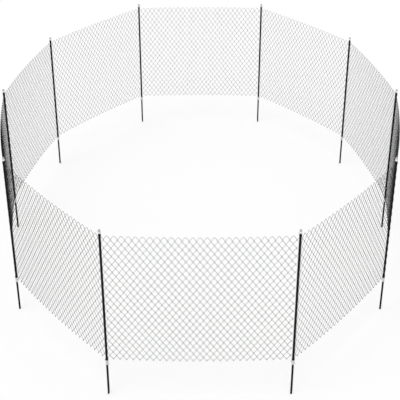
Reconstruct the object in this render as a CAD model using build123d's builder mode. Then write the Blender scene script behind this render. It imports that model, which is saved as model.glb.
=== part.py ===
from build123d import *
from math import atan2, cos, degrees, hypot, radians, sin
import os

# A portable mesh pen: ten tubular posts stand in a ring and carry ten panels of
# diamond mesh.  Each post has a capped steel tube above a collar that stops it at
# ground level, and a round spike below that is pushed into the soil.
# Millimetres, +Z up.  The origin is the centre of the flat foot of the front left
# post, and the front panel runs from there along +X.

# Plan of the ring: equal panels, turned at each post, mirrored left to right and
# front to back.  Four turns each of the first two kinds and two of the third make 360.
PANEL_CHORD = 2000
END_TURN = 52
SHOULDER_TURN = 28
side_turn = 180 - 2 * (END_TURN + SHOULDER_TURN)

# Post tube, longer than the mesh at both ends
TUBE_DIAMETER = 25.4
TUBE_WALL = 0.8
TUBE_ABOVE_MESH = 28
TUBE_BELOW_MESH = 16
FIT_CLEARANCE = 0.2

# Ground spike: below the collar, through it, and up inside the tube
SPIKE_DEPTH = 412
SPIKE_INSERT = 100
TIP_BEVEL_LENGTH = 80
TIP_BEVEL_WIDTH = 8
SPIKE_LEAD_IN = 1.5

# Collar at ground level: a spool with two rings and a lug on each
COLLAR_HEIGHT = 55
COLLAR_WALL = 2.6
COLLAR_RING_STEP = 3.5
COLLAR_RING_HEIGHT = 14
COLLAR_EDGE_RADIUS = 2

# Cap in the top of the tube: a plug, a ring with a lug, and a knob
CAP_PLUG_LENGTH = 30
CAP_RING_STEP = 3.8
CAP_RING_HEIGHT = 20
CAP_KNOB_STEP = 4
CAP_KNOB_HEIGHT = 22
CAP_EDGE_RADIUS = 2
CAP_DOME_RADIUS = 6

# Lugs that hook the edge wires of the mesh, standing out from the rings
LUG_WIDTH = 10
LUG_STEP = 10

# Diamond mesh: diagonal bars fused where they cross, bowed outwards between posts
MESH_HEIGHT = 1550
MESH_COLUMNS = 14
MESH_ROWS = 8
BAR_WIDTH = 7
BAR_THICKNESS = 7
MESH_BOW = 45
BOW_FACETS = 4
MESH_CLEARANCE = 0.3

# Heights worked out from the sizes above, from the foot of the spike upwards
tube_bottom = SPIKE_DEPTH + COLLAR_HEIGHT
mesh_bottom = tube_bottom + TUBE_BELOW_MESH
tube_top = mesh_bottom + MESH_HEIGHT + TUBE_ABOVE_MESH

# Diameters worked out from the tube's, with each wall and step taken on the radius,
# and the lugs' reach from the post's axis
tube_bore = TUBE_DIAMETER - 2 * TUBE_WALL
plug_diameter = tube_bore - 2 * FIT_CLEARANCE
collar_waist = tube_bore + 2 * COLLAR_WALL
collar_ring = collar_waist + 2 * COLLAR_RING_STEP
cap_ring = TUBE_DIAMETER + 2 * CAP_RING_STEP
cap_knob = cap_ring - 2 * CAP_KNOB_STEP
lug_reach = collar_ring / 2 + LUG_STEP

os.makedirs("parts", exist_ok=True)


def ring_of_frames():
    """Walk the ring and give the frame of each post and of the panel after it.

    A post's frame has X half-way between its two panels, and a panel's has X along
    its chord, so that -Y points out of the pen in both.
    """
    turns = [END_TURN, SHOULDER_TURN, side_turn, SHOULDER_TURN, END_TURN] * 2
    post_frames, panel_frames = [], []
    x, y, heading = 0.0, 0.0, 0.0
    turn_before = turns[-1]
    for turn_after in turns:
        along = Vector(cos(radians(heading)), sin(radians(heading)), 0)
        between = Vector(1, 0, 0).rotate(Axis.Z, heading - turn_before / 2)
        post_frames.append(Plane((x, y, 0), x_dir=between, z_dir=(0, 0, 1)))
        panel_frames.append(Plane((x, y, mesh_bottom), x_dir=along, z_dir=(0, 0, 1)))
        x += PANEL_CHORD * along.X
        y += PANEL_CHORD * along.Y
        heading += turn_after
        turn_before = turn_after
    return post_frames, panel_frames


def save(part, name):
    part.label = name
    export_step(part, f"parts/{name}.step")


def save_copies(part, frames, name):
    """Save one numbered piece for each frame, placed there."""
    for number, frame in enumerate(frames, start=1):
        with BuildPart() as placed:
            with Locations(frame):
                add(part)
        save(placed.part, f"{name}_{number:02d}")


def save_together(part, frames, name):
    """Save like pieces, one at each frame, as the solids of one part."""
    with BuildPart() as placed:
        with Locations(*frames):
            add(part)
    save(placed.part, name)


post_frames, panel_frames = ring_of_frames()

# Post tube
with BuildPart() as post_tube:
    with BuildSketch(Plane.XY.offset(tube_bottom)):
        Circle(TUBE_DIAMETER / 2)
        Circle(tube_bore / 2, mode=Mode.SUBTRACT)
    extrude(amount=tube_top - tube_bottom)
save_copies(post_tube.part, post_frames, "post_tube")

# Ground spike: a round bar with a lead-in at the top and a bevel to one side of
# its flat foot
with BuildPart() as ground_spike:
    with BuildSketch():
        Circle(plug_diameter / 2)
    extrude(amount=tube_bottom + SPIKE_INSERT)
    chamfer(ground_spike.faces().sort_by(Axis.Z)[-1].edges(), SPIKE_LEAD_IN)
    with BuildSketch(Plane.XZ):
        with BuildLine():
            edge = plug_diameter / 2
            Polyline((edge - TIP_BEVEL_WIDTH, 0), (edge, 0), (edge, TIP_BEVEL_LENGTH), close=True)
        make_face()
    extrude(amount=plug_diameter / 2, both=True, mode=Mode.SUBTRACT)
save_copies(ground_spike.part, post_frames, "ground_spike")

# Ground collar: the tube stands on it, and the spike runs through its bore
with BuildPart() as collar:
    with BuildSketch(Plane.XZ):
        with Locations((0, SPIKE_DEPTH)):
            Rectangle(collar_waist / 2, COLLAR_HEIGHT, align=Align.MIN)
        for ring_foot in (SPIKE_DEPTH, tube_bottom - COLLAR_RING_HEIGHT):
            with Locations((0, ring_foot)):
                Rectangle(collar_ring / 2, COLLAR_RING_HEIGHT, align=Align.MIN)
    revolve(axis=Axis.Z)
    rims = collar.edges().filter_by(GeomType.CIRCLE).filter_by(
        lambda rim: rim.radius > (collar_waist + collar_ring) / 4
    )
    fillet(rims, COLLAR_EDGE_RADIUS)
    for lug_side, lug_foot in ((1, SPIKE_DEPTH), (-1, tube_bottom - COLLAR_RING_HEIGHT)):
        with BuildSketch(Plane.XY.offset(lug_foot)):
            with Locations((lug_side * lug_reach / 2, 0)):
                SlotOverall(lug_reach, LUG_WIDTH)
        extrude(amount=COLLAR_RING_HEIGHT)
    with Locations((0, 0, tube_bottom)):
        Hole(tube_bore / 2, depth=COLLAR_HEIGHT)
save_together(collar.part, post_frames, "ground_collars")

# Cap: its plug is inside the tube, and its ring sits on the tube's end
with BuildPart() as cap:
    with BuildSketch(Plane.XZ):
        with Locations((0, tube_top - CAP_PLUG_LENGTH)):
            Rectangle(plug_diameter / 2, CAP_PLUG_LENGTH, align=Align.MIN)
        with Locations((0, tube_top)):
            Rectangle(cap_ring / 2, CAP_RING_HEIGHT, align=Align.MIN)
        with Locations((0, tube_top + CAP_RING_HEIGHT)):
            Rectangle(cap_knob / 2, CAP_KNOB_HEIGHT, align=Align.MIN)
    revolve(axis=Axis.Z)
    rims = cap.edges().filter_by(GeomType.CIRCLE).sort_by(Axis.Z)
    ring_rims = rims.filter_by(lambda rim: rim.radius > (cap_knob + cap_ring) / 4)
    fillet(rims[-1], CAP_DOME_RADIUS)
    fillet(ring_rims, CAP_EDGE_RADIUS)
    with BuildSketch(Plane.XY.offset(tube_top)):
        with Locations((-lug_reach / 2, 0)):
            SlotOverall(lug_reach, LUG_WIDTH)
    extrude(amount=CAP_RING_HEIGHT)
save_together(cap.part, post_frames, "top_caps")

# Mesh panel: diagonal bars in both directions, cut from a sheet that is folded
# outwards in a few flat facets, and cut short of the post tube at each end
cell_width = PANEL_CHORD / MESH_COLUMNS
bar_angle = degrees(atan2(MESH_HEIGHT / MESH_ROWS, cell_width))
bar_length = hypot(MESH_HEIGHT, cell_width * MESH_ROWS) + 2 * BAR_WIDTH
bar_centres = [
    ((count + 0.5 - MESH_ROWS / 2) * cell_width, MESH_HEIGHT / 2)
    for count in range(MESH_COLUMNS + MESH_ROWS)
]
folds = [PANEL_CHORD * count / BOW_FACETS for count in range(BOW_FACETS + 1)]
outer_line = [
    (x, -BAR_THICKNESS / 2 - MESH_BOW * (1 - (2 * x / PANEL_CHORD - 1) ** 2)) for x in folds
]
inner_line = [(x, y + BAR_THICKNESS) for x, y in reversed(outer_line)]
with BuildPart() as mesh_panel:
    with BuildSketch(Plane.XZ):
        with Locations(*bar_centres):
            Rectangle(bar_length, BAR_WIDTH, rotation=bar_angle)
            Rectangle(bar_length, BAR_WIDTH, rotation=-bar_angle)
    extrude(amount=MESH_BOW + BAR_THICKNESS, both=True)
    with BuildSketch(Plane.XY.offset(-BAR_WIDTH / 2)):
        with BuildLine():
            Polyline(*outer_line, *inner_line, close=True)
        make_face()
    extrude(amount=MESH_HEIGHT + BAR_WIDTH, mode=Mode.INTERSECT)
    with Locations((0, 0, MESH_HEIGHT / 2), (PANEL_CHORD, 0, MESH_HEIGHT / 2)):
        Cylinder(TUBE_DIAMETER / 2 + MESH_CLEARANCE, MESH_HEIGHT + 2 * BAR_WIDTH, mode=Mode.SUBTRACT)
save_copies(mesh_panel.part, panel_frames, "mesh_panel")
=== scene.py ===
import bpy
import math
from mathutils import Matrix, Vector


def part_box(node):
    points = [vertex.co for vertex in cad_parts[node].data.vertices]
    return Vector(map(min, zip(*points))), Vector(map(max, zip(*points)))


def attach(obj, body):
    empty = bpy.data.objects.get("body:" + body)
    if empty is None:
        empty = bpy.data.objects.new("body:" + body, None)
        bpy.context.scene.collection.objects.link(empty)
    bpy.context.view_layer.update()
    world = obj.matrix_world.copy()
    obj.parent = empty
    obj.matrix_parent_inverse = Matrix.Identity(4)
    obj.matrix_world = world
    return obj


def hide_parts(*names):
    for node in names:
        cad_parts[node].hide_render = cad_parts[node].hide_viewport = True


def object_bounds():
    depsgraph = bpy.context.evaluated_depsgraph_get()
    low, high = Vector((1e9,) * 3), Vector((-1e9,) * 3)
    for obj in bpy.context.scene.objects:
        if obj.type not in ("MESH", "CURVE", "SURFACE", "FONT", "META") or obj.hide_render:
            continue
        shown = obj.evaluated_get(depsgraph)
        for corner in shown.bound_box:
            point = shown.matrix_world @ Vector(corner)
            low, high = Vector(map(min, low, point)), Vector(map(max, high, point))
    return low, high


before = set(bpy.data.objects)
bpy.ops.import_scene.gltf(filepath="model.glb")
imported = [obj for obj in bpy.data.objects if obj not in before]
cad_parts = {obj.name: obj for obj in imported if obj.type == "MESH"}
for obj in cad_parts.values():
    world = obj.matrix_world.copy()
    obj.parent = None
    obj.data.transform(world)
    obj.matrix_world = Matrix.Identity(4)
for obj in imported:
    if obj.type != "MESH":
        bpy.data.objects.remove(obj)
cad_low, cad_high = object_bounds()


# Camera: a long lens that looks down over the front panel on the whole ring, set
# square to that panel and as far away as its perspective asks.
VIEW_PITCH = 29.46         # degrees below the horizon
VIEW_HEIGHT = 7.05         # metres above the spikes' feet
VIEW_DISTANCE = 11.71      # metres in plan from the middle of the ring
VIEW_ANGLE = 23.45         # degrees across the frame
ring_middle = (cad_low + cad_high) / 2
bpy.ops.object.camera_add(
    location=(ring_middle.x, ring_middle.y - VIEW_DISTANCE, VIEW_HEIGHT),
    rotation=(math.radians(90 - VIEW_PITCH), 0, 0),
)
camera = bpy.context.object
camera.data.angle = math.radians(VIEW_ANGLE)
bpy.context.scene.camera = camera


# Ground spikes: round steel bars with a bevelled foot, sawn to length and dipped in
# black paint.  Soil has dulled the coat towards the foot and rubbed it through in
# small scuffs near the tip.
def linear(hex_colour):
    """A screen colour such as #1b1b1c as the linear colour that a shader wants."""
    parts = [int(hex_colour[place:place + 2], 16) / 255 for place in (1, 3, 5)]
    return (*[p / 12.92 if p <= 0.04045 else ((p + 0.055) / 1.055) ** 2.4 for p in parts], 1)


def empty_material(name):
    """A new material with no nodes yet."""
    material = bpy.data.materials.new(name)
    material.use_nodes = True
    material.node_tree.nodes.clear()
    return material


def add_node(material, kind, settings, inputs):
    """Add a node. An input is a plain value, or an output socket to link from."""
    node = material.node_tree.nodes.new(kind)
    for name, value in settings.items():
        setattr(node, name, value)
    for name, value in inputs.items():
        if isinstance(value, bpy.types.NodeSocket):
            material.node_tree.links.new(value, node.inputs[name])
        else:
            node.inputs[name].default_value = value
    return node


def finish_nodes(kind, material):
    """Give every CAD node of one kind this material."""
    for name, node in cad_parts.items():
        if name.startswith(kind):
            node.data.materials.clear()
            node.data.materials.append(material)


SOILED_HEIGHT = 0.30       # up the bar from its foot, where soil has dulled the paint
SCUFF_SIZE = 0.004         # across one scuff
SCUFF_LENGTH = 4           # times its width, because the push into soil draws it out
COAT_SPECULAR = 0.12       # weathered black coats mirror little of a white room
spike_paint = empty_material("dipped_black_paint_on_steel")
place = add_node(spike_paint, "ShaderNodeTexCoord", {}, {})
height = add_node(spike_paint, "ShaderNodeSeparateXYZ", {}, {0: place.outputs["Object"]})
soiled = add_node(spike_paint, "ShaderNodeMapRange", {"interpolation_type": "SMOOTHSTEP"}, {
    "Value": height.outputs["Z"], "From Min": 0.0, "From Max": SOILED_HEIGHT,
    "To Min": 1.0, "To Max": 0.0,
})
stretch = add_node(spike_paint, "ShaderNodeMapping", {}, {
    "Vector": place.outputs["Object"], "Scale": (1.0, 1.0, 1 / SCUFF_LENGTH),
})
scuffs = add_node(spike_paint, "ShaderNodeTexNoise", {}, {
    "Vector": stretch.outputs["Vector"], "Scale": 1 / SCUFF_SIZE, "Detail": 4.0,
    "Roughness": 0.65,
})
worn = add_node(spike_paint, "ShaderNodeMapRange", {}, {
    "Value": scuffs.outputs["Fac"], "From Min": 0.60, "From Max": 0.72,
    "To Min": 0.0, "To Max": 0.4,
})
worn_through = add_node(spike_paint, "ShaderNodeMath", {"operation": "MULTIPLY"}, {
    0: worn.outputs["Result"], 1: soiled.outputs["Result"],
})
paint_tone = add_node(spike_paint, "ShaderNodeMix", {"data_type": "RGBA"}, {
    "Factor": soiled.outputs["Result"], "A": linear("#08080a"), "B": linear("#100f0e"),
})
bare_steel = add_node(spike_paint, "ShaderNodeMix", {"data_type": "RGBA"}, {
    "Factor": worn_through.outputs["Value"], "A": paint_tone.outputs["Result"],
    "B": linear("#3a3735"),
})
dullness = add_node(spike_paint, "ShaderNodeMapRange", {}, {
    "Value": soiled.outputs["Result"], "To Min": 0.42, "To Max": 0.6,
})
paint_ripple = add_node(spike_paint, "ShaderNodeBump", {}, {
    "Height": scuffs.outputs["Fac"], "Strength": 0.25, "Distance": 0.0004,
})
shader = add_node(spike_paint, "ShaderNodeBsdfPrincipled", {}, {
    "Base Color": bare_steel.outputs["Result"], "Roughness": dullness.outputs["Result"],
    "Metallic": worn_through.outputs["Value"], "Specular IOR Level": COAT_SPECULAR,
    "Normal": paint_ripple.outputs["Normal"],
})
add_node(spike_paint, "ShaderNodeOutputMaterial", {}, {"Surface": shader.outputs["BSDF"]})
finish_nodes("ground_spike_", spike_paint)


# Ground collars: spools with two hooked lugs, injection moulded in natural nylon and
# pressed on to the spikes.  The plastic is milky, with cloudy flow marks, and lets some
# light into its edges.
FLOW_MARK = 0.020          # across one cloudy flow mark
MOULD_GRAIN = 0.001        # real spark-eroded grain is finer and would not show
LIGHT_DEPTH = 0.006        # how far light gets into the milky plastic


def moulded_nylon(name, pale, cloudy):
    """Natural nylon between two tones, and the node that mixes them."""
    nylon = empty_material(name)
    place = add_node(nylon, "ShaderNodeTexCoord", {}, {})
    clouds = add_node(nylon, "ShaderNodeTexNoise", {}, {
        "Vector": place.outputs["Object"], "Scale": 1 / FLOW_MARK, "Detail": 1.0,
        "Roughness": 0.4,
    })
    patches = add_node(nylon, "ShaderNodeMapRange", {"interpolation_type": "SMOOTHSTEP"}, {
        "Value": clouds.outputs["Fac"], "From Min": 0.3, "From Max": 0.7,
    })
    milk = add_node(nylon, "ShaderNodeMix", {"data_type": "RGBA"}, {
        "Factor": patches.outputs["Result"], "A": linear(cloudy), "B": linear(pale),
    })
    grain = add_node(nylon, "ShaderNodeTexNoise", {}, {
        "Vector": place.outputs["Object"], "Scale": 1 / MOULD_GRAIN, "Detail": 2.0,
    })
    grain_bump = add_node(nylon, "ShaderNodeBump", {}, {
        "Height": grain.outputs["Fac"], "Strength": 0.2, "Distance": 0.0003,
    })
    gloss = add_node(nylon, "ShaderNodeMapRange", {}, {
        "Value": clouds.outputs["Fac"], "To Min": 0.34, "To Max": 0.5,
    })
    shader = add_node(nylon, "ShaderNodeBsdfPrincipled", {}, {
        "Base Color": milk.outputs["Result"], "Roughness": gloss.outputs["Result"],
        "IOR": 1.53, "Subsurface Weight": 0.3, "Subsurface Scale": LIGHT_DEPTH,
        "Subsurface Radius": (1.0, 1.0, 1.0), "Normal": grain_bump.outputs["Normal"],
    })
    add_node(nylon, "ShaderNodeOutputMaterial", {}, {"Surface": shader.outputs["BSDF"]})
    return nylon, milk


collar_nylon, _ = moulded_nylon("collar_natural_nylon", "#e6e6e7", "#c9cacc")
finish_nodes("ground_collars", collar_nylon)


# Post tubes: thin welded steel tube, powder coated black.  The cured powder has a
# satin skin with a fine orange peel, and is chipped at the two ends of the tube, where
# cap and collar were knocked on.
ORANGE_PEEL = 0.002        # from crest to crest
HANDLED_PATCH = 0.070      # across a patch that hands have rubbed smoother
CHIP_SIZE = 0.003
CHIPPED_BAND = 0.006       # how far in from each end of the tube the chips reach
powder_coat = empty_material("black_powder_coat")
place = add_node(powder_coat, "ShaderNodeTexCoord", {}, {})
peel = add_node(powder_coat, "ShaderNodeTexNoise", {}, {
    "Vector": place.outputs["Object"], "Scale": 1 / ORANGE_PEEL, "Detail": 2.0,
    "Roughness": 0.4,
})
handling = add_node(powder_coat, "ShaderNodeTexNoise", {}, {
    "Vector": place.outputs["Object"], "Scale": 1 / HANDLED_PATCH, "Detail": 5.0,
    "Roughness": 0.6,
})
coat_tone = add_node(powder_coat, "ShaderNodeMix", {"data_type": "RGBA"}, {
    "Factor": handling.outputs["Fac"], "A": linear("#08080a"), "B": linear("#111112"),
})
# Chips down to the steel, near the ends only
tube_low, tube_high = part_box("post_tube_01")
half_tube = (tube_high.z - tube_low.z) / 2
height = add_node(powder_coat, "ShaderNodeSeparateXYZ", {}, {0: place.outputs["Object"]})
above_middle = add_node(powder_coat, "ShaderNodeMath", {"operation": "SUBTRACT"}, {
    0: height.outputs["Z"], 1: tube_low.z + half_tube,
})
from_middle = add_node(powder_coat, "ShaderNodeMath", {"operation": "ABSOLUTE"}, {
    0: above_middle.outputs["Value"],
})
near_end = add_node(powder_coat, "ShaderNodeMapRange", {}, {
    "Value": from_middle.outputs["Value"],
    "From Min": half_tube - CHIPPED_BAND, "From Max": half_tube, "To Min": 0.0, "To Max": 0.32,
})
flakes = add_node(powder_coat, "ShaderNodeTexNoise", {}, {
    "Vector": place.outputs["Object"], "Scale": 1 / CHIP_SIZE, "Detail": 3.0,
    "Roughness": 0.6,
})
flaked = add_node(powder_coat, "ShaderNodeMath", {"operation": "ADD"}, {
    0: flakes.outputs["Fac"], 1: near_end.outputs["Result"],
})
chipped = add_node(powder_coat, "ShaderNodeMapRange", {}, {
    "Value": flaked.outputs["Value"], "From Min": 0.75, "From Max": 0.79,
})
coat_or_steel = add_node(powder_coat, "ShaderNodeMix", {"data_type": "RGBA"}, {
    "Factor": chipped.outputs["Result"], "A": coat_tone.outputs["Result"], "B": linear("#6d6a66"),
})
satin = add_node(powder_coat, "ShaderNodeMapRange", {}, {
    "Value": handling.outputs["Fac"], "To Min": 0.42, "To Max": 0.6,
})
peel_bump = add_node(powder_coat, "ShaderNodeBump", {}, {
    "Height": peel.outputs["Fac"], "Strength": 0.22, "Distance": 0.0004,
})
shader = add_node(powder_coat, "ShaderNodeBsdfPrincipled", {}, {
    "Base Color": coat_or_steel.outputs["Result"], "Roughness": satin.outputs["Result"],
    "Metallic": chipped.outputs["Result"], "Specular IOR Level": COAT_SPECULAR,
    "Normal": peel_bump.outputs["Normal"],
})
add_node(powder_coat, "ShaderNodeOutputMaterial", {}, {"Surface": shader.outputs["BSDF"]})
finish_nodes("post_tube_", powder_coat)


# Top caps: a ring with a lug and a domed knob, moulded like the collars and pushed
# into the tubes.  The knob is solid and looks smoky, while the thin ring stays pale.
CAP_RING_HEIGHT = 0.020
SMOKE_START = -0.001       # from the knob's foot, where the pale ring begins to turn smoky
SMOKE_FULL = 0.005         # from there too, where the tone is full
knob_foot = tube_high.z + CAP_RING_HEIGHT
cap_nylon, ring_tone = moulded_nylon("cap_natural_nylon", "#f4f4f4", "#e6e7e8")
place = add_node(cap_nylon, "ShaderNodeTexCoord", {}, {})
height = add_node(cap_nylon, "ShaderNodeSeparateXYZ", {}, {0: place.outputs["Object"]})
in_knob = add_node(cap_nylon, "ShaderNodeMapRange", {"interpolation_type": "SMOOTHSTEP"}, {
    "Value": height.outputs["Z"],
    "From Min": knob_foot + SMOKE_START, "From Max": knob_foot + SMOKE_FULL,
})
knob_tone = add_node(cap_nylon, "ShaderNodeMix", {"data_type": "RGBA"}, {
    "Factor": in_knob.outputs["Result"], "A": ring_tone.outputs["Result"], "B": linear("#b4b5b7"),
})
cap_shader = cap_nylon.node_tree.nodes["Principled BSDF"]
cap_nylon.node_tree.links.new(knob_tone.outputs["Result"], cap_shader.inputs["Base Color"])
finish_nodes("top_caps", cap_nylon)


# Mesh panels: chain-link cloth of steel wire in a black plastic coat.  Each strand is
# a flattened spiral that hooks its neighbours at every bend.  Strands are looped over in
# pairs at the top and knuckled at the foot, and the end strands go round the posts.
WIRE_DIAMETER = 0.0035
WIRE_COLUMNS = 28
WIRE_ROWS = 16
LAYER = 0.0020             # from the middle of the cloth to the wires of one side
BEND_REACH = 0.0019        # a bend's reach past the line where two strands meet
BEND_CROWN = 0.0011        # how far the middle of a bend stands beyond its ends
BEND_RISE = 0.0012         # half of a bend's climb as it goes through the cloth
LOOP_ROUNDNESS = 0.3       # a top loop's radius as a share of half a diamond's width
LOOP_CROSSING = 0.4        # the share of that half width in which a loop changes sides
KNUCKLE_DEPTH = 0.0037     # from a wire to the end that is folded back behind it
KNUCKLE_DROP = 0.0020      # how far the fold hangs below the mesh's own edge
KNUCKLE_LENGTH = 0.0075    # of the end that is folded back
POST_TURN = 112.5          # degrees round the post from its far side to where a wire leaves
POST_CLIMB = 0.0125        # climb of an end strand over that turn
LAST_TURN = 270            # degrees that the strand's own two ends go on round the post
LAST_CLIMB = 0.0078        # climb of an end over its last turn
TURN_STEP = 22.5           # degrees of post to one straight step of wire
POST_GAP = 0.0005          # between tube and wire, so that no straight step cuts in
CAD_BAR_EDGE = 0.0035      # the CAD bars stand this far past the mesh's own edges
BOW_MARGIN = 0.0005        # how far the cloth's outermost wires stay inside the CAD bars
SAME_PLACE = 0.00001       # points of a wire nearer than this are merged
ROUND_ANGLE = 75           # degrees between faces that are still shaded as one round wire


def post_axis(number):
    """The place of a post's axis in plan; after the last post comes the first."""
    low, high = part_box(f"post_tube_{(number - 1) % post_count + 1:02d}")
    return Vector(((low.x + high.x) / 2, (low.y + high.y) / 2, 0))


def pick_vertex(far):
    """Select one vertex of the edited wire, the lowest or the highest."""
    bpy.ops.object.mode_set(mode="EDIT")
    bpy.ops.mesh.select_all(action="DESELECT")
    bpy.ops.object.mode_set(mode="OBJECT")
    chosen = far(bpy.context.object.data.vertices, key=lambda vertex: vertex.co.z)
    chosen.select = True
    place = chosen.co.copy()
    bpy.ops.object.mode_set(mode="EDIT")
    return place


def lead_wire(start, places):
    """Extrude the selected end of a wire from its place through these places."""
    for place in places:
        step = Vector(place) - Vector(start)
        bpy.ops.mesh.extrude_region_move(TRANSFORM_OT_translate={"value": step})
        start = place


def start_wire(name, places):
    """Begin a wire as one vertex and lead it through its first places."""
    bpy.ops.object.select_all(action="DESELECT")
    bpy.ops.mesh.primitive_plane_add(size=0.001)
    wire = bpy.context.object
    wire.name = name
    bpy.ops.object.mode_set(mode="EDIT")
    bpy.ops.mesh.select_mode(type="VERT")
    bpy.ops.mesh.merge(type="CENTER")
    bpy.ops.transform.translate(value=places[0])
    lead_wire(places[0], places[1:])
    bpy.ops.object.mode_set(mode="OBJECT")
    return wire


def repeat(piece, count, offset):
    """Copy a piece along a line with an array, its meeting ends merged."""
    bpy.ops.object.modifier_add(type="ARRAY")
    array = piece.modifiers[-1]
    array.count = count
    array.use_relative_offset = False
    array.use_constant_offset = True
    array.constant_offset_displace = offset
    array.use_merge_vertices = True
    array.merge_threshold = SAME_PLACE
    bpy.ops.object.modifier_apply(modifier=array.name)


def turn_half_round(piece, merge):
    """Copy all of the piece, turned half round the upright axis of its origin."""
    bpy.ops.object.mode_set(mode="EDIT")
    bpy.ops.mesh.select_all(action="SELECT")
    bpy.ops.mesh.duplicate()
    bpy.ops.transform.rotate(value=math.pi, orient_axis="Z", center_override=(0, 0, 0))
    if merge:
        bpy.ops.mesh.select_all(action="SELECT")
        bpy.ops.mesh.remove_doubles(threshold=SAME_PLACE)
    bpy.ops.object.mode_set(mode="OBJECT")


def thicken(wire):
    """Turn a line of edges into a round wire with closed ends."""
    bpy.ops.object.convert(target="CURVE")
    wire.data.bevel_depth = WIRE_DIAMETER / 2
    wire.data.bevel_resolution = 1
    wire.data.use_fill_caps = True
    bpy.ops.object.convert(target="MESH")
    bpy.ops.object.mode_set(mode="EDIT")
    bpy.ops.mesh.select_all(action="SELECT")
    bpy.ops.mesh.remove_doubles(threshold=SAME_PLACE)
    bpy.ops.object.mode_set(mode="OBJECT")


post_count = sum(name.startswith("post_tube_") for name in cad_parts)
panel_low, panel_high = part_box("mesh_panel_01")
mesh_foot = panel_low.z + CAD_BAR_EDGE
mesh_height = panel_high.z - CAD_BAR_EDGE - mesh_foot
chord = (post_axis(2) - post_axis(1)).length
bow = -panel_low.y - LAYER - KNUCKLE_DEPTH - WIRE_DIAMETER / 2 - BOW_MARGIN
bow_radius = (chord ** 2 / 4 + bow ** 2) / (2 * bow)
cell_width = 2 * bow_radius * math.asin(chord / 2 / bow_radius) / WIRE_COLUMNS
cell_height = mesh_height / WIRE_ROWS
half_width, half_height = cell_width / 2, cell_height / 2
bend = half_width + BEND_REACH

# One cell of a strand, from the middle of a left bend to the next one above it.
# The wire climbs to the right in front of the cloth and back to the left behind it.
strand_pair = start_wire("strand_pair", [
    (-bend - BEND_CROWN, 0, half_height),
    (-bend, -LAYER, half_height + BEND_RISE),
    (BEND_REACH, -LAYER, cell_height - BEND_RISE),
    (BEND_REACH + BEND_CROWN, 0, cell_height),
    (BEND_REACH, LAYER, cell_height + BEND_RISE),
    (-bend, LAYER, cell_height + half_height - BEND_RISE),
    (-bend - BEND_CROWN, 0, cell_height + half_height),
])
repeat(strand_pair, WIRE_ROWS - 1, (0, 0, cell_height))
# Down to the knuckle, which folds in half an ellipse round the foot of the other strand
leg_slope = cell_height / cell_width
fold_x = KNUCKLE_LENGTH / math.hypot(1, leg_slope)
fold = [
    (BEND_REACH,
     (LAYER + KNUCKLE_DEPTH / 2) * math.cos(math.radians(angle)) - KNUCKLE_DEPTH / 2,
     -KNUCKLE_DROP * math.sin(math.radians(angle)))
    for angle in (0, 45, 90, 135, 180)
]
lead_wire(pick_vertex(min), [
    (-bend, LAYER, half_height - BEND_RISE),
    *fold,
    (BEND_REACH - fold_x, -LAYER - KNUCKLE_DEPTH, fold_x * leg_slope),
])
# Up to the top loop: two straight legs that run into a rounded top, on a hyperbola, and
# cross from the front of the cloth to the back.  Its places are shares of half a
# diamond's width, closer together where the wire is round.
loop = []
for reach in (0.62, 0.46, 0.34, 0.24, 0.15, 0.07, 0):
    fall = (math.hypot(reach, LOOP_ROUNDNESS) - LOOP_ROUNDNESS) / (
        math.hypot(1, LOOP_ROUNDNESS) - LOOP_ROUNDNESS)
    loop.append((-reach * half_width, -LAYER * min(1, reach / LOOP_CROSSING),
                 mesh_height - fall * half_height))
lead_wire(pick_vertex(max), [
    (-bend, -LAYER, mesh_height - half_height + BEND_RISE),
    *loop,
])
bpy.ops.object.mode_set(mode="OBJECT")
turn_half_round(strand_pair, merge=True)
thicken(strand_pair)
bpy.ops.transform.translate(value=((1 - WIRE_COLUMNS / 2) * cell_width, 0, 0))
bpy.ops.object.transform_apply()
repeat(strand_pair, WIRE_COLUMNS - 1, (cell_width, 0, 0))

# The end strand hooks the cloth on one side and goes round the post on the other
post_x = -WIRE_COLUMNS / 2 * cell_width
around = (tube_high.x - tube_low.x) / 2 + WIRE_DIAMETER / 2 + POST_GAP


def round_post(first, last, low, high):
    """Places in even steps round the post between two angles and two heights."""
    count = round(abs(last - first) / TURN_STEP)
    places = []
    for step in range(count + 1):
        angle = math.radians(first + (last - first) * step / count)
        places.append((post_x + around * math.cos(angle), around * math.sin(angle),
                       low + (high - low) * step / count))
    return places


end_strand = start_wire("end_strand", [
    *round_post(180, 180 + POST_TURN, 0, POST_CLIMB),
    (post_x + bend, -LAYER, half_height - BEND_RISE),
    (post_x + bend + BEND_CROWN, 0, half_height),
    (post_x + bend, LAYER, half_height + BEND_RISE),
    *round_post(180 - POST_TURN, 180, cell_height - POST_CLIMB, cell_height),
])
repeat(end_strand, WIRE_ROWS, (0, 0, cell_height))
lead_wire(pick_vertex(min), round_post(180, 180 - LAST_TURN, 0, -LAST_CLIMB)[1:])
last_places = round_post(180, 180 + LAST_TURN, mesh_height, mesh_height + LAST_CLIMB)
lead_wire(pick_vertex(max), last_places[1:])
bpy.ops.object.mode_set(mode="OBJECT")
thicken(end_strand)
turn_half_round(end_strand, merge=False)

# The cloth is bowed outwards, then copied to its place between each two posts
strand_pair.select_set(True)
bpy.context.view_layer.objects.active = strand_pair
bpy.ops.object.join()
cloth = bpy.context.object
bpy.ops.object.modifier_add(type="SIMPLE_DEFORM")
curve = cloth.modifiers[-1]
curve.deform_method = "BEND"
curve.deform_axis = "Z"
curve.angle = cloth.dimensions.x / bow_radius
bpy.ops.object.modifier_apply(modifier=curve.name)
bpy.ops.transform.translate(value=(0, -bow, mesh_foot))
bpy.ops.object.transform_apply()
bpy.ops.object.shade_smooth_by_angle(angle=math.radians(ROUND_ANGLE))

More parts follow.
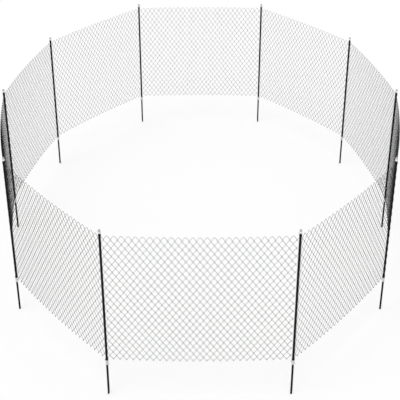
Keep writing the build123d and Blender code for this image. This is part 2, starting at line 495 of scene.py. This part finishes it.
# The coat is extruded round the wire before it is woven: a dull black skin with a faint
# drag to it, which sun and dust have greyed in patches
DUST_PATCH = 0.045         # across a patch of chalking and dust
DRAG_MARK = 0.0005         # real marks of the extruder's die are finer and would not show
wire_coat = empty_material("black_plastic_coat_on_wire")
place = add_node(wire_coat, "ShaderNodeTexCoord", {}, {})
dust = add_node(wire_coat, "ShaderNodeTexNoise", {}, {
    "Vector": place.outputs["Object"], "Scale": 1 / DUST_PATCH, "Detail": 5.0,
    "Roughness": 0.6,
})
drag = add_node(wire_coat, "ShaderNodeTexNoise", {}, {
    "Vector": place.outputs["Object"], "Scale": 1 / DRAG_MARK, "Detail": 2.0,
})
coat_tone = add_node(wire_coat, "ShaderNodeMix", {"data_type": "RGBA"}, {
    "Factor": dust.outputs["Fac"], "A": linear("#0b0b0c"), "B": linear("#191919"),
})
sheen = add_node(wire_coat, "ShaderNodeMapRange", {}, {
    "Value": dust.outputs["Fac"], "To Min": 0.38, "To Max": 0.6,
})
drag_bump = add_node(wire_coat, "ShaderNodeBump", {}, {
    "Height": drag.outputs["Fac"], "Strength": 0.2, "Distance": 0.0001,
})
shader = add_node(wire_coat, "ShaderNodeBsdfPrincipled", {}, {
    "Base Color": coat_tone.outputs["Result"], "Roughness": sheen.outputs["Result"],
    "IOR": 1.53, "Specular IOR Level": COAT_SPECULAR, "Normal": drag_bump.outputs["Normal"],
})
add_node(wire_coat, "ShaderNodeOutputMaterial", {}, {"Surface": shader.outputs["BSDF"]})
cloth.data.materials.append(wire_coat)

for number in range(1, post_count + 1):
    left, right = post_axis(number), post_axis(number + 1)
    bpy.ops.object.select_all(action="DESELECT")
    cloth.select_set(True)
    bpy.context.view_layer.objects.active = cloth
    bpy.ops.object.duplicate(linked=False)
    panel = bpy.context.object
    panel.name = f"chain_link_{number:02d}"
    panel.rotation_euler.z = math.atan2(right.y - left.y, right.x - left.x)
    panel.location = (left + right) / 2
    bpy.ops.object.transform_apply()
    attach(panel, "root")
    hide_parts(f"mesh_panel_{number:02d}")
bpy.data.objects.remove(cloth)


# Studio: a white paper floor at the spikes' feet, one very wide soft lamp high on the
# left, and even light from the white room all round.
FLOOR_SIZE = 240           # metres, so that its edge is far off in every view
FLOOR_GLOW = 0.5           # the share of the floor's white that takes no shadow
LAMP_PLACE = (-4, -6, 12)
LAMP_TURN = (0.55, -0.42, 0)          # radians about X, Y and Z
LAMP_STRENGTH = 1.25
LAMP_WIDTH = 60            # degrees of the sky that the lamp fills
ROOM_LIGHT = 0.75          # of full white, as the room lights the object


def background_rays(material):
    """A socket that is 1 for the camera's rays, straight, mirrored or through glass."""
    ray = add_node(material, "ShaderNodeLightPath", {}, {})
    mirrored = add_node(material, "ShaderNodeMath", {"operation": "MAXIMUM"}, {
        0: ray.outputs["Is Camera Ray"], 1: ray.outputs["Is Glossy Ray"],
    })
    refracted = add_node(material, "ShaderNodeMath", {"operation": "MAXIMUM"}, {
        0: mirrored.outputs["Value"], 1: ray.outputs["Is Transmission Ray"],
    })
    return refracted.outputs["Value"]


bpy.ops.object.select_all(action="DESELECT")
bpy.ops.mesh.primitive_grid_add(
    x_subdivisions=8, y_subdivisions=8, size=FLOOR_SIZE,
    location=(ring_middle.x, ring_middle.y, 0),
)
floor = bpy.context.object
floor.name = "studio_floor"
floor_paper = empty_material("white_paper_sweep")
paper = add_node(floor_paper, "ShaderNodeBsdfDiffuse", {}, {"Color": linear("#fafafa")})
glow = add_node(floor_paper, "ShaderNodeEmission", {}, {
    "Color": linear("#ffffff"), "Strength": background_rays(floor_paper),
})
lifted = add_node(floor_paper, "ShaderNodeMixShader", {}, {
    0: FLOOR_GLOW, 1: paper.outputs["BSDF"], 2: glow.outputs["Emission"],
})
add_node(floor_paper, "ShaderNodeOutputMaterial", {}, {"Surface": lifted.outputs["Shader"]})
floor.data.materials.append(floor_paper)

bpy.ops.object.light_add(type="SUN", location=LAMP_PLACE, rotation=LAMP_TURN)
lamp = bpy.context.object
lamp.data.energy = LAMP_STRENGTH
lamp.data.angle = math.radians(LAMP_WIDTH)

world = bpy.data.worlds.new("even_white_room")
bpy.context.scene.world = world
world.use_nodes = True
world.node_tree.nodes.clear()
level = add_node(world, "ShaderNodeMapRange", {}, {
    "Value": background_rays(world), "To Min": ROOM_LIGHT, "To Max": 1.0,
})
room = add_node(world, "ShaderNodeBackground", {}, {
    "Color": linear("#ffffff"), "Strength": level.outputs["Result"],
})
add_node(world, "ShaderNodeOutputWorld", {}, {"Surface": room.outputs["Background"]})
bpy.context.scene.view_settings.view_transform = "Standard"
